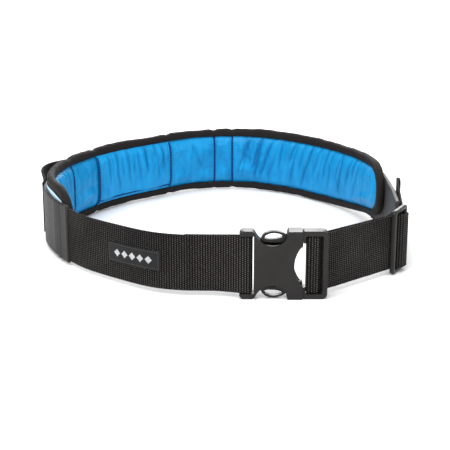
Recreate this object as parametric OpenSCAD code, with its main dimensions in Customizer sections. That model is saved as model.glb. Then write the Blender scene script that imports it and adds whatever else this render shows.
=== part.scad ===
// Padded gait belt standing on its lower edge as a closed ring.
// +X runs along the buckle toward the plug side, +Y to the back of the ring, +Z up.
// The ring's plan is one curve through a few points; every strap and pad layer is offset from it.

/* [Webbing] */
// width of the webbing
web_h = 50; // [38:1:50]
// thickness of one layer of webbing
web_t = 2; // [1.2:0.1:2.5]

/* [Pad] */
// height of the pad over its binding
pad_h = 69; // [60:1:110]
// thickness of the foam
foam_t = 8; // [5:0.5:15]
// thickness of the lining, shell and binding cloth
cloth_t = 0.8; // [0.5:0.1:1.2]
// width of the binding seen on each face
bind_w = 8; // [6:1:12]
// where the pad ends on its right side, along Y
pad_end_r = 172; // [140:1:200]
// where the pad ends on its left side, along Y
pad_end_l = 92; // [80:1:140]

/* [Buckle] */
// height of the buckle
buckle_h = 60; // [58:1:64]
// thickness of the buckle
buckle_t = 13; // [10:0.5:15]
// X of the socket's bar end
socket_x0 = 12; // [5:1:20]
// X of the socket's mouth
socket_x1 = 65; // [60:1:70]
// X of the plug's outer end
plug_x1 = 86; // [82:1:92]
// play between plug and socket
play = 0.35; // [0.3:0.05:0.6]

/* [Slider] */
// length of the slider along the strap
slider_l = 30; // [24:1:34]
// thickness of the slider's frame
slider_t = 4.4; // [2:0.1:5]

/* [Hidden] */
BLACK = [0.08, 0.08, 0.09];
GREY = [0.25, 0.24, 0.25];
BLUE = [0.07, 0.45, 0.85];
PALE = [0.6, 0.82, 0.95];
WHITE = [0.95, 0.95, 0.95];

// plan of the webbing's middle, from the slider round the back to the socket
PLAN = [[156, 88], [157, 125], [157.5, 160], [154, 205], [139, 250], [110, 294], [66, 333], [14, 351],
    [-38, 342], [-90, 306], [-129.5, 270], [-157, 226], [-169.3, 188], [-169.6, 150], [-154.5, 109.5],
    [-127.5, 68], [-93, 38], [-62, 17], [-33, 9], [-5, 8], [25, 8]];
last = len(PLAN) - 1;
zc = buckle_h / 2;
web_z0 = zc - web_h / 2;
web_z1 = zc + web_h / 2;
// depths inward from the webbing's middle
d_shell = web_t / 2 + cloth_t + 0.1;
d_foam = d_shell + cloth_t;
d_line = d_foam + foam_t;
d_face = d_line + cloth_t;

// the ring is drawn from the buckle's front face, then set with its box centred on the origin
CENTRE = [7.47, -176.1, 0];
module place() {
    translate(CENTRE) children();
}

function k(i) = PLAN[max(0, min(last, i))];
function curve(a, b, c, d, t) =
    0.5 * (2 * b + (c - a) * t + (2 * a - 5 * b + 4 * c - d) * t * t + (3 * b - a - 3 * c + d) * t * t * t);
function at(u) = let (i = max(0, min(last - 1, floor(u)))) curve(k(i - 1), k(i), k(i + 1), k(i + 2), u - i);
function inward(u) =
    let (v = at(min(last, u + 0.02)) - at(max(0, u - 0.02)), n = norm(v)) [-v[1] / n, v[0] / n];
function off(u, d) = at(u) + d * inward(u);

// a strip that follows the ring from u0 to u1, between depths d0 and d1
module band(u0, u1, d0, d1, z0, z1) {
    n = round((u1 - u0) * 4);
    outer = [for (i = [0:n]) off(u0 + (u1 - u0) * i / n, d0)];
    inner = [for (i = [n:-1:0]) off(u0 + (u1 - u0) * i / n, d1)];
    translate([0, 0, z0])
        linear_extrude(z1 - z0)
            polygon(concat(outer, inner));
}

// what is cut from one end of the pad to leave round corners of radius r
module end_cut(x0, y_end, r, z0, z1) {
    difference() {
        translate([x0, y_end - 80, -10])
            cube([200, 80 + r, 100]);
        translate([x0 - 1, y_end + r, z0])
            cube([202, r + 1, z1 - z0]);
        translate([x0 - 1, y_end, z0 + r])
            cube([202, r + 1, z1 - z0 - 2 * r]);
        for (z = [z0 + r, z1 - r])
            translate([x0 - 1, y_end + r, z])
                rotate([0, 90, 0])
                    cylinder(h = 202, r = r, $fn = 64);
    }
}

// a layer of the pad, drawn in from the pad's edge by inset
module pad_layer(d0, d1, inset) {
    difference() {
        band(1.5, 15.5, d0, d1, inset, pad_h - inset);
        end_cut(0, pad_end_r + inset, 30 - inset, inset, pad_h - inset);
        end_cut(-200, pad_end_l + inset, 29 - inset, inset, pad_h - inset);
    }
}

module foam_core() {
    color(GREY) place() pad_layer(d_foam, d_line, cloth_t);
}

module inner_lining() {
    color(BLUE) place() pad_layer(d_line, d_face, cloth_t);
}

module outer_shell() {
    color(BLACK) place() pad_layer(d_shell, d_foam, cloth_t);
}

// binding tape folded over the pad's edge, all the way round
module edge_binding() {
    color(BLACK) place()
    difference() {
        pad_layer(d_shell - cloth_t, d_face + cloth_t, 0);
        pad_layer(d_shell, d_face, cloth_t);
        pad_layer(d_shell - 3, d_face + 3, bind_w);
    }
}

// a second piece of lining, sewn on over the left of the pad's inner face
module lining_patch() {
    color(BLUE) place() band(8.5, 10.5, d_face, d_face + cloth_t, bind_w + 0.5, pad_h - bind_w - 0.5);
}

// a row of thread across the pad's inner face
module cross_row(u, d) {
    p = off(u, d);
    n = inward(u);
    translate([p[0], p[1], bind_w + 1])
        rotate([0, 0, atan2(n[1], n[0])])
            translate([0, -0.5, 0])
                cube([0.5, 1, pad_h - 2 * bind_w - 2]);
}

module lining_stitching() {
    color(BLUE) place()
    for (u = [7, 7.5, 11.5])
        cross_row(u, d_face + 0.12);
}

module patch_stitching() {
    color(BLUE) place() {
        for (u = [8.75, 10.25])
            cross_row(u, d_face + cloth_t + 0.12);
        for (z = [bind_w + 3, pad_h - bind_w - 4])
            band(9, 10, d_face + cloth_t, d_face + cloth_t + 0.5, z, z + 1);
    }
}

module back_webbing() {
    color(BLACK) place() band(0, 14.5, -web_t / 2, web_t / 2, web_z0, web_z1);
}

// smooth cover sewn over the webbing between the slider and the pad
module right_sleeve() {
    color(GREY) place() band(0.5, 3.5, -web_t / 2 - 1.2, -web_t / 2, web_z0 - 2, web_z1 + 3);
}

module left_sleeve() {
    color(GREY) place() band(11.75, 14.75, -web_t / 2 - 1.2, -web_t / 2, web_z0 - 2, web_z1 + 2);
}

// pale cloth between the pad's left end and its sleeve, standing above the sleeve
module left_facing() {
    color(PALE) place()
    difference() {
        band(12.75, 14.25, -web_t / 2, -web_t / 2 + 0.6, web_z1 + 0.3, web_z1 + 4.5);
        translate([-200, 80, web_z1 + 4.5])
            rotate([-14, 0, 0])
                cube([100, 40, 20]);
    }
}

// webbing handle that stands off the back left of the belt
GRIP = [[-174.3, 166], [-174.5, 178], [-176.8, 190], [-180.6, 204], [-183, 219], [-181, 235], [-172.5, 248],
    [-158.5, 257.5], [-142, 263.5], [-131.5, 273]];
grip_last = len(GRIP) - 1;
grip_n = 36;
function g(i) = GRIP[max(0, min(grip_last, i))];
function grip_at(u) =
    let (i = max(0, min(grip_last - 1, floor(u)))) curve(g(i - 1), g(i), g(i + 1), g(i + 2), u - i);
function grip_off(u, d) =
    let (v = grip_at(min(grip_last, u + 0.02)) - grip_at(max(0, u - 0.02)))
    grip_at(u) + d * [-v[1], v[0]] / norm(v);
module left_handle() {
    color(BLACK) place()
    translate([0, 0, web_z0 + 2])
        linear_extrude(web_h)
            polygon(concat(
                [for (i = [0:grip_n]) grip_off(grip_last * i / grip_n, web_t)],
                [for (i = [grip_n:-1:0]) grip_off(grip_last * i / grip_n, 0)]));
}

module handle_bartacks() {
    color(BLACK) place()
    for (u = [0.5, grip_last - 0.5]) {
        p = grip_off(u, web_t + 0.15);
        v = grip_off(u + 0.02, 0) - grip_off(u - 0.02, 0);
        for (z = [web_z0 + 7, web_z1 - 5])
            translate([p[0], p[1], z])
                rotate([0, 0, atan2(v[1], v[0])])
                    translate([-3, 0, 0])
                        cube([6, 0.5, 2]);
    }
}

module left_strap() {
    color(BLACK) place() band(14.5, 18, -web_t / 2, web_t / 2, web_z0, web_z1);
}

// end of the webbing, folded round the socket's bar and sewn back on itself
bar_x = 18.2;
bar_y = buckle_t / 2;
bar_r = 2.9;
module socket_loop() {
    e = off(18, -web_t / 2);
    f = off(18, 1.5 * web_t);
    ro = bar_r + 0.1 + web_t;
    color(BLACK) place()
    translate([0, 0, web_z0])
        difference() {
            union() {
                linear_extrude(web_h)
                    polygon([e, [-8, 7], [bar_x - 1.1, bar_y - ro + 0.1], [bar_x - 1.1, bar_y + ro - 0.1], [-8, 11], f]);
                translate([bar_x, bar_y, 0])
                    cylinder(h = web_h, r = ro, $fn = 64);
            }
            translate([0, 0, -1])
                linear_extrude(web_h + 2)
                    polygon([[-6, 9], [bar_x - 1.1, bar_y - ro + web_t + 0.1], [bar_x, bar_y],
                    [bar_x - 1.1, bar_y + ro - web_t - 0.1]]);
            translate([bar_x, bar_y, -1])
                cylinder(h = web_h + 2, r = bar_r + 0.1, $fn = 64);
        }
}

// rows of thread that close the fold
module loop_stitching() {
    color(BLACK) place()
    for (x = [-30, -27.5, -9])
        translate([x, 6.42 - (x + 8) * 0.0417, web_z0 + 3])
            cube([0.9, 0.5, web_h - 6]);
}

// outer face of the left strap where the label lies
module on_label(d0, d1, s0, s1, z0, z1) {
    band(s0, s1, -web_t / 2 - d1, -web_t / 2 - d0, z0, z1);
}

module label_patch() {
    color(BLACK) place() on_label(0, 0.8, 15.75, 17.25, zc - 9, zc + 9);
}

module label_stitching() {
    color(GREY) place()
    for (z = [zc - 8, zc + 7.5])
        on_label(0.8, 1.1, 15.75, 17.25, z, z + 0.5);
}

// generic row of small diamonds on the label
module label_motif() {
    color(WHITE) place()
    for (i = [0:4]) {
        u = 16 + i * 0.25;
        p = off(u, -web_t / 2 - 0.95);
        n = inward(u);
        translate([p[0], p[1], zc])
            rotate([0, 0, atan2(n[1], n[0])])
                rotate([0, -90, 0])
                    linear_extrude(0.4)
                        polygon([[3.4, 0], [0, 3.4], [-3.4, 0], [0, -3.4]]);
    }
}

// elevation of a plate: x across, y as height, round corners of radius r
module plate(x0, x1, z0, z1, r) {
    union() {
        translate([x0 + r, z0]) square([x1 - x0 - 2 * r, z1 - z0]);
        translate([x0, z0 + r]) square([x1 - x0, z1 - z0 - 2 * r]);
        for (x = [x0 + r, x1 - r])
            for (z = [z0 + r, z1 - r])
                translate([x, z]) circle(r = r, $fn = 48);
    }
}

// stands an elevation outline up, from y0 to y1
module stand(y0, y1) {
    translate([0, y1, 0])
        rotate([90, 0, 0])
            linear_extrude(y1 - y0)
                children();
}

// the dip in the socket's upper edge, as x and depth below the edge
DIP = [[20.5, -1], [22.4, 0.05], [24.2, 1.4], [25.7, 3.8], [27.5, 6.6], [29.9, 9], [32.8, 11], [35.8, 12],
    [38.8, 12.5], [41.8, 12.3], [45, 11.6], [47.8, 10.2], [50, 8], [51.4, 5.4], [51.9, 2.6], [52.6, 0.5], [54, -1]];
dip_last = len(DIP) - 1;
function dip_k(i) = DIP[max(0, min(dip_last, i))];
function dip_at(u) =
    let (i = max(0, min(dip_last - 1, floor(u)))) curve(dip_k(i - 1), dip_k(i), dip_k(i + 1), dip_k(i + 2), u - i);
module side_window() {
    polygon([for (i = [0:dip_last * 3]) let (q = dip_at(i / 3)) [q[0], buckle_h - q[1]]]);
}
module both_windows() {
    union() {
        side_window();
        translate([0, buckle_h]) mirror([0, 1]) side_window();
    }
}

body_x0 = 24.2;
ear_h = 4.5;
module buckle_socket() {
    skin = 2.4;
    color(BLACK) place()
    union() {
        difference() {
            stand(0, buckle_t) plate(body_x0, socket_x1, 0, buckle_h, 1);
            // hollow for the plug
            translate([28, skin, 4.2])
                cube([60, buckle_t - 2 * skin, buckle_h - 8.4]);
            // side windows that show the arms
            stand(-1, buckle_t + 1) both_windows();
            // concave mouth
            stand(-1, buckle_t + 1)
                translate([socket_x1 + 19.3, zc]) circle(r = 26.4, $fn = 96);
        }
        // ears that carry the bar
        stand(1.5, buckle_t - 1.5)
            difference() {
                plate(socket_x0, body_x0 + 6, 0, buckle_h, 4);
                translate([socket_x0 - 1, ear_h]) square([body_x0 - socket_x0 + 1, buckle_h - 2 * ear_h]);
                translate([body_x0 - 0.1, ear_h + 4]) square([7, buckle_h - 2 * ear_h - 8]);
                both_windows();
            }
        // bar
        translate([bar_x, bar_y, 3])
            cylinder(h = buckle_h - 6, r = bar_r, $fn = 48);
    }
}

wrap_x = 73.7;
module plug_frame() {
    x0 = socket_x1 + play;
    color(BLACK) place()
    union() {
        difference() {
            stand(1.5, buckle_t - 1.5)
                union() {
                    plate(x0, plug_x1, 0, buckle_h, 4.8);
                    plate(x0, x0 + 12, 0, buckle_h, 1);
                }
            // opening for the webbing
            stand(-1, buckle_t + 1) plate(x0 + 1.85, plug_x1 - 4, 4.4, buckle_h - 4.4, 1);
            // open toward the socket's mouth along its middle
            translate([x0 - 1, -1, 10.5])
                cube([6, 20, buckle_h - 21]);
            // the outer end bar is thin, to let the webbing out behind it
            translate([plug_x1 - 4.5, 7.5, 4.4])
                cube([10, 20, buckle_h - 8.8]);
        }
        // flat centre bar
        translate([0, 0, 4])
            linear_extrude(buckle_h - 8)
                plate(wrap_x - 4, wrap_x + 4, bar_y - 2.6, bar_y + 2.6, 2.55);
    }
}

module plug_wrap() {
    color(BLACK) place()
    translate([0, 0, web_z0])
        linear_extrude(web_h)
            difference() {
                plate(wrap_x - 6.1, wrap_x + 6.1, bar_y - 4.7, bar_y + 4.7, 4.65);
                plate(wrap_x - 4.1, wrap_x + 4.1, bar_y - 2.7, bar_y + 2.7, 2.65);
            }
}

// springy arm: a looped pad to press, with a shoulder that catches behind the socket's bridge
module arm() {
    stand(4, buckle_t - 4)
        difference() {
            polygon([[65, 44.5], [65, 53], [58, 53.5], [52.2, 54.2], [50.7, 56], [48.4, 57.6], [45, 58.9],
                [41, 59.5], [37, 59.1], [33.6, 57.7], [31, 55.2], [29.9, 52.6], [31, 50.4], [34, 49.6],
                [40, 49.3], [48, 49.3], [56, 47.6], [60, 46]]);
            polygon([[32.6, 53.4], [34.2, 55.8], [37.5, 57.2], [41, 57.6], [45, 57], [48.2, 55.5], [47.4, 54],
                [44, 53], [40, 52.5], [36, 52.4]]);
        }
}

module upper_arm() {
    color(BLACK) place() arm();
}

module lower_arm() {
    color(BLACK) place() translate([0, 0, buckle_h]) mirror([0, 0, 1]) arm();
}

// the strap's runs: from the plug to the bend, then straight through the slider
bend = [142.8, 63.5];
far = PLAN[0];
plug_at = [72, 8.5];
function unit(v) = v / norm(v);
function left_of(v) = [-v[1], v[0]];
dir1 = unit(bend - plug_at);
dir2 = unit(far - bend);
mid_n = unit(left_of(dir1) + left_of(dir2));
miter = 1 / (mid_n * left_of(dir1));
slide_c = (bend + far) / 2;
slide_a = atan2(dir2[1], dir2[0]);
// a point of the slider's own plan: x along the strap, d inward
function in_slider(x, d) = slide_c + x * dir2 + d * left_of(dir2);

module right_strap_inner() {
    h = web_t / 2;
    color(BLACK) place()
    translate([0, 0, web_z0])
        linear_extrude(web_h)
            polygon([plug_at + 6 * dir1 - h * left_of(dir1), bend - h * miter * mid_n,
                far - 0.6 * dir2 - h * left_of(dir2), far - 0.6 * dir2 + h * left_of(dir2), bend + h * miter * mid_n,
                plug_at + 6 * dir1 + h * left_of(dir1)]);
}

// the outer layer dips under the slider's side bars and rides over its middle bar
frame_d = -web_t * 1.5 - 0.9;
low_d = -web_t - 0.5;
top_d = frame_d - slider_t - web_t / 2 - 1.3;
function layer(k) = [
    plug_at + 7.2 * dir1 - (5 - k) * left_of(dir1),
    bend + (low_d + k) * miter * mid_n,
    in_slider(-9.4 + 0.4 * k, low_d + k),
    in_slider(-4.2 + 0.6 * k, top_d + k),
    in_slider(0.5, top_d - 1.4 + k),
    in_slider(4.6 - 0.6 * k, top_d - 1.4 + k),
    in_slider(9.4 - 0.4 * k, low_d + k),
    in_slider(15.2, low_d + k)];
module right_strap_outer() {
    lower = layer(-web_t / 2);
    upper = layer(web_t / 2);
    color(BLACK) place()
    translate([0, 0, web_z0])
        linear_extrude(web_h)
            polygon(concat(lower, [for (i = [len(upper) - 1:-1:0]) upper[i]]));
}

module slider_frame() {
    h = slider_l / 2;
    f = -frame_d;
    color(BLACK) place()
    translate([slide_c[0], slide_c[1], 0])
        rotate([0, 0, slide_a])
            difference() {
                stand(-f - slider_t, -f) plate(-h, h, 0.6, buckle_h - 0.6, 4);
                for (x = [-h + 4.4, 2.6])
                    stand(-f - slider_t - 1, -f + 1)
                        plate(x, x + h - 7, 4.4, buckle_h - 4.4, 1);
            }
}

// loose end of the webbing beyond the slider
tail_at = in_slider(15.6, low_d);
tail_a = 85;
module tail_strap() {
    color(BLACK) place()
    translate([tail_at[0], tail_at[1], web_z0])
        rotate([0, 0, tail_a])
            translate([0, -web_t / 2, 0])
                cube([90, web_t, web_h]);
}

module tail_hem() {
    color(BLACK) place()
    translate([tail_at[0], tail_at[1], web_z0])
        rotate([0, 0, tail_a])
            translate([90, -web_t, 0])
                cube([14, 2 * web_t, web_h]);
}

foam_core();
inner_lining();
lining_patch();
outer_shell();
edge_binding();
lining_stitching();
patch_stitching();
back_webbing();
right_sleeve();
left_sleeve();
left_facing();
left_handle();
handle_bartacks();
left_strap();
socket_loop();
loop_stitching();
label_patch();
label_motif();
label_stitching();
buckle_socket();
plug_frame();
plug_wrap();
upper_arm();
lower_arm();
right_strap_inner();
right_strap_outer();
slider_frame();
tail_strap();
tail_hem();
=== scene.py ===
"""Looks of the padded gait belt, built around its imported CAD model."""

import math

import bpy
import numpy as np
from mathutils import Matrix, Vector, noise


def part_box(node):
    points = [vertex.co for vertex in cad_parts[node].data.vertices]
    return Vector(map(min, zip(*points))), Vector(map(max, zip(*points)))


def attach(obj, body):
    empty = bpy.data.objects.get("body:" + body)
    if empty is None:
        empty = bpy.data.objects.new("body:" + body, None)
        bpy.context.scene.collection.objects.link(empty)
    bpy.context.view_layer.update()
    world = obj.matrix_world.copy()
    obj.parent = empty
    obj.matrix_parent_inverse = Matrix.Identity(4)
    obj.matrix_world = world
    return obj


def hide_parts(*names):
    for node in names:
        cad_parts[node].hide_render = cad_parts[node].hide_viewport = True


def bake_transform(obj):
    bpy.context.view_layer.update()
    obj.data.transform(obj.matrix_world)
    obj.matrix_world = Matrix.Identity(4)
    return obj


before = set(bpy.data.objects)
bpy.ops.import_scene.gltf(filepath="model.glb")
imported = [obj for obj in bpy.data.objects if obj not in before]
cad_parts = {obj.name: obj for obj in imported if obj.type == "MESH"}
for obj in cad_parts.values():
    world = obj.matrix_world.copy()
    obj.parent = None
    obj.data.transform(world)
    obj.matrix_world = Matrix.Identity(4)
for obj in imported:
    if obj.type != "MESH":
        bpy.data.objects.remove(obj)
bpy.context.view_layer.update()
MM = 0.001

# ---------------------------------------------------------------- plan of the belt, in mm
# The ring is drawn from the buckle's front face, as in the CAD; SHIFT sets it in the row frame.
PLAN = np.array([
    (156, 88), (157, 125), (157.5, 160), (154, 205), (139, 250), (110, 294), (66, 333),
    (14, 351), (-38, 342), (-90, 306), (-129.5, 270), (-157, 226), (-169.3, 188), (-169.6, 150),
    (-154.5, 109.5), (-127.5, 68), (-93, 38), (-62, 17), (-33, 9), (-5, 8), (25, 8)], float)
socket_lo, socket_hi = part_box("buckle_socket")
SOCKET_X0 = 12.0
BUCKLE_H = socket_hi.z / MM
RIB = 2.2  # distance between the webbing's cross ribs
FLOAT_STEP = 1.9  # distance between the raised floats along one rib
SHIFT = np.array([socket_lo.x / MM - SOCKET_X0, socket_lo.y / MM])
web_lo, web_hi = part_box("back_webbing")
WEB_Z0, WEB_Z1 = web_lo.z / MM, web_hi.z / MM
WEB_H = WEB_Z1 - WEB_Z0
WEB_T = 2.0
PAD_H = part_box("edge_binding")[1].z / MM
ZC = BUCKLE_H / 2
# depths inward from the webbing's middle
CLOTH = 0.8
LINING_T = 0.7
D_SHELL = WEB_T / 2 + CLOTH + 0.1
D_FOAM = D_SHELL + CLOTH
D_LINE = D_FOAM + 8.0
D_FACE = D_LINE + CLOTH


def spline(points, per=24):
    """A Catmull-Rom curve through the points, as many short steps."""
    p = np.asarray(points, float)
    n = len(p) - 1
    out, us = [], []
    for i in range(n):
        a, b, c, d = p[max(0, i - 1)], p[i], p[i + 1], p[min(n, i + 2)]
        for j in range(per):
            t = j / per
            out.append(0.5 * (2 * b + (c - a) * t + (2 * a - 5 * b + 4 * c - d) * t * t
                              + (3 * b - a - 3 * c + d) * t ** 3))
            us.append(i + t)
    out.append(p[-1])
    us.append(float(n))
    return np.array(out), np.array(us)


class Path:
    """A plan curve measured by its length, with its inward side on the left."""

    def __init__(self, points):
        self.p = np.asarray(points, float)
        step = np.hypot(*np.diff(self.p, axis=0).T)
        self.s = np.concatenate([[0], np.cumsum(step)])
        self.length = self.s[-1]
        tangent = np.gradient(self.p, axis=0)
        tangent /= np.maximum(np.hypot(*tangent.T), 1e-9)[:, None]
        self.n = np.stack([-tangent[:, 1], tangent[:, 0]], 1)

    def at(self, s, d=0.0):
        s = np.asarray(s, float)
        x = np.interp(s, self.s, self.p[:, 0]) + d * np.interp(s, self.s, self.n[:, 0])
        y = np.interp(s, self.s, self.p[:, 1]) + d * np.interp(s, self.s, self.n[:, 1])
        return x, y

    def inward(self, s):
        """The inward direction at length s, as an array of 3D vectors."""
        nx, ny = np.interp(s, self.s, self.n[:, 0]), np.interp(s, self.s, self.n[:, 1])
        return np.stack([nx, ny, 0 * nx], -1)


ring_points, ring_u = spline(PLAN)
RING = Path(ring_points)


def s_of(u):
    """Length along the ring at plan parameter u."""
    return float(np.interp(u, ring_u, RING.s))


def to_frame(x, y, z):
    """Plan mm to row frame metres, as an array of points."""
    x, y, z = np.broadcast_arrays(np.asarray(x, float), y, z)
    return np.stack([(x + SHIFT[0]) * MM, (y + SHIFT[1]) * MM, z * MM], -1)


def wobble(*v, seed=0.0):
    """Smooth noise in -1..1 at a point."""
    v = list(v) + [0.0] * (3 - len(v))
    return noise.noise(Vector((v[0] + seed * 7.3, v[1] - seed * 3.1, v[2] + seed * 1.7)))


# ---------------------------------------------------------------- meshes
def make_object(name, verts, faces, uvs=None, material=None, smooth=True):
    mesh = bpy.data.meshes.new(name)
    mesh.from_pydata([tuple(v) for v in np.asarray(verts).reshape(-1, 3)], [], faces)
    mesh.update()
    if uvs is not None:
        layer = mesh.uv_layers.new(name="UVMap")
        flat = np.asarray(uvs, float).reshape(-1, 2)
        loops = np.zeros(len(mesh.loops), int)
        mesh.loops.foreach_get("vertex_index", loops)
        layer.data.foreach_set("uv", flat[loops].ravel())
    if smooth:
        mesh.polygons.foreach_set("use_smooth", [True] * len(mesh.polygons))
    obj = bpy.data.objects.new(name, mesh)
    bpy.context.scene.collection.objects.link(obj)
    if material:
        mesh.materials.append(material)
    return obj


def grid_faces(rows, cols, wrap=False, flip=False):
    faces = []
    last = cols if wrap else cols - 1
    for i in range(rows - 1):
        for j in range(last):
            k = (j + 1) % cols
            f = (i * cols + j, (i + 1) * cols + j, (i + 1) * cols + k, i * cols + k)
            faces.append(f[::-1] if flip else f)
    return faces


def sweep(name, path, s_values, profile, material, deform=None):
    """Sweeps a closed profile, points (d, z), along a plan path; deform(s, d, z) may move it."""
    rows, cols = len(s_values), len(profile)
    s = np.repeat(np.asarray(s_values, float)[:, None], cols, 1)
    d = np.repeat(np.asarray(profile)[None, :, 0], rows, 0)
    z = np.repeat(np.asarray(profile)[None, :, 1], rows, 0)
    if deform:
        s, d, z = deform(s, d.copy(), z.copy())
    x, y = path.at(s, d)
    verts = to_frame(x, y, z).reshape(-1, 3)
    prof = np.asarray(profile)
    edge = np.hypot(*np.diff(np.vstack([prof, prof[:1]]), axis=0).T)
    v = np.concatenate([[0], np.cumsum(edge)[:-1]])
    uv = np.stack([np.repeat(np.asarray(s_values)[:, None], cols, 1),
                   np.repeat(v[None], rows, 0)], -1).reshape(-1, 2) * MM
    faces = grid_faces(rows, cols, wrap=True)
    faces.append(tuple(range(cols)))
    faces.append(tuple((rows - 1) * cols + j for j in reversed(range(cols))))
    return make_object(name, verts, faces, uv, material)


RIB_DEPTH = 0.16  # how far the grooves between the ribs go into each face
SELVEDGE = 0.25  # how much thicker the webbing is along its two edges
HALF_TURN = np.linspace(0, math.pi, 7)[1:-1]


def web_profile(d, z0, z1, t):
    """Cross-section of webbing: two faces and rounded, slightly thicker selvedges."""
    r = t / 2
    n = max(4, int((z1 - z0 - 2 * r) / 2.6))
    zs = np.concatenate([[z0 + r, z0 + r + 0.8], np.linspace(z0 + r + 2, z1 - r - 2, n),
                         [z1 - r - 0.8, z1 - r]])
    swell = SELVEDGE * np.exp(-((np.minimum(zs - z0, z1 - zs) - 1.2) / 1.1) ** 2) * 0.5
    front = [(d - r - w, z) for z, w in zip(zs, swell)]
    top = [(d - r * math.cos(a), z1 - r + r * math.sin(a)) for a in HALF_TURN]
    back = [(d + r + w, z) for z, w in zip(zs[::-1], swell[::-1])]
    bottom = [(d + r * math.cos(a), z0 + r - r * math.sin(a)) for a in HALF_TURN]
    return front + top + back + bottom


def webbing(name, path, s0, s1, seed, d=0.0, z0=WEB_Z0, z1=WEB_Z1, amount=0.35, deform=None,
            t=WEB_T):
    """A run of webbing that follows the path, ribbed across, with a slight unevenness."""
    n = max(4, int(round(abs(s1 - s0) / (RIB / 4))))
    s_values = np.linspace(s0, s1, n + 1)

    def bend(s, dd, z):
        side = np.sign(dd - d)
        groove = RIB_DEPTH * (0.5 + 0.5 * np.cos(2 * math.pi * s / RIB))
        dd = dd - side * groove
        z = z - np.sign(z - ZC) * (np.abs(z - ZC) > WEB_H / 2 - 1) * groove * 1.3
        a = np.array([wobble(v / 45, seed=seed) for v in s_values])[:, None]
        b = np.array([wobble(v / 60, 5.0, seed=seed) for v in s_values])[:, None]
        c = np.array([wobble(v / 80, 9.0, seed=seed) for v in s_values])[:, None]
        dd = dd + amount * (0.5 * a + b * (z - ZC) / 25)
        z = z + 0.35 * amount * c
        if deform:
            s, dd, z = deform(s, dd, z)
        return s, dd, z
    return sweep(name, path, s_values, web_profile(d, z0, z1, t), M_WEB, deform=bend)


def stitches(name, points, normals, material, width=0.55, high=0.32, share=0.7, pitch=2.8):
    """Separate stitches along a polyline of 3D points in metres, on a surface with normals."""
    p, nm = np.asarray(points, float), np.asarray(normals, float)
    length = np.concatenate([[0], np.cumsum(np.linalg.norm(np.diff(p, axis=0), axis=1))])
    count = max(1, int(length[-1] / (pitch * MM)))
    verts, faces = [], []
    rings, sides = 5, 6

    def between(values, here):
        return np.array([np.interp(here, length, values[:, q]) for q in range(3)])

    for k in range(count):
        a = (k + 0.5 - share / 2) / count * length[-1]
        b = (k + 0.5 + share / 2) / count * length[-1]
        base = len(verts)
        for i in range(rings):
            t = i / (rings - 1)
            here = a + (b - a) * t
            c, m = between(p, here), between(nm, here)
            tan = between(p, here + 1e-4) - between(p, here - 1e-4)
            tan /= max(np.linalg.norm(tan), 1e-12)
            side = np.cross(tan, m)
            side /= max(np.linalg.norm(side), 1e-12)
            swell = math.sin(math.pi * (0.12 + 0.76 * t))
            for j in range(sides):
                ang = j * math.pi / 3
                verts.append(c + side * math.cos(ang) * width / 2 * MM * swell
                             + m * (math.sin(ang) * high * swell + 0.05 - 0.25 * (1 - swell)) * MM)
        for i in range(rings - 1):
            near, far = base + i * sides, base + (i + 1) * sides
            for j in range(sides):
                k2 = (j + 1) % sides
                faces.append((near + j, near + k2, far + k2, far + j))
        faces.append(tuple(base + j for j in reversed(range(sides))))
        faces.append(tuple(base + (rings - 1) * sides + j for j in range(sides)))
    return make_object(name, verts, faces, None, material)


def thicken(obj, thickness):
    """Gives a single sheet its thickness in mm, away from the side that shows."""
    solid = obj.modifiers.new("thick", "SOLIDIFY")
    solid.thickness = thickness * MM
    solid.offset = -1


def join(name, objects):
    """Several meshes as one piece."""
    bpy.ops.object.select_all(action="DESELECT")
    for o in objects:
        o.select_set(True)
    bpy.context.view_layer.objects.active = objects[0]
    bpy.ops.object.join()
    objects[0].name = name
    return objects[0]


# ---------------------------------------------------------------- materials
def new_material(name, color, rough, specular):
    mat = bpy.data.materials.new(name)
    mat.use_nodes = True
    bsdf = mat.node_tree.nodes["Principled BSDF"]
    bsdf.inputs["Base Color"].default_value = (*color, 1)
    bsdf.inputs["Roughness"].default_value = rough
    bsdf.inputs["Specular IOR Level"].default_value = specular
    return mat, bsdf


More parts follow.
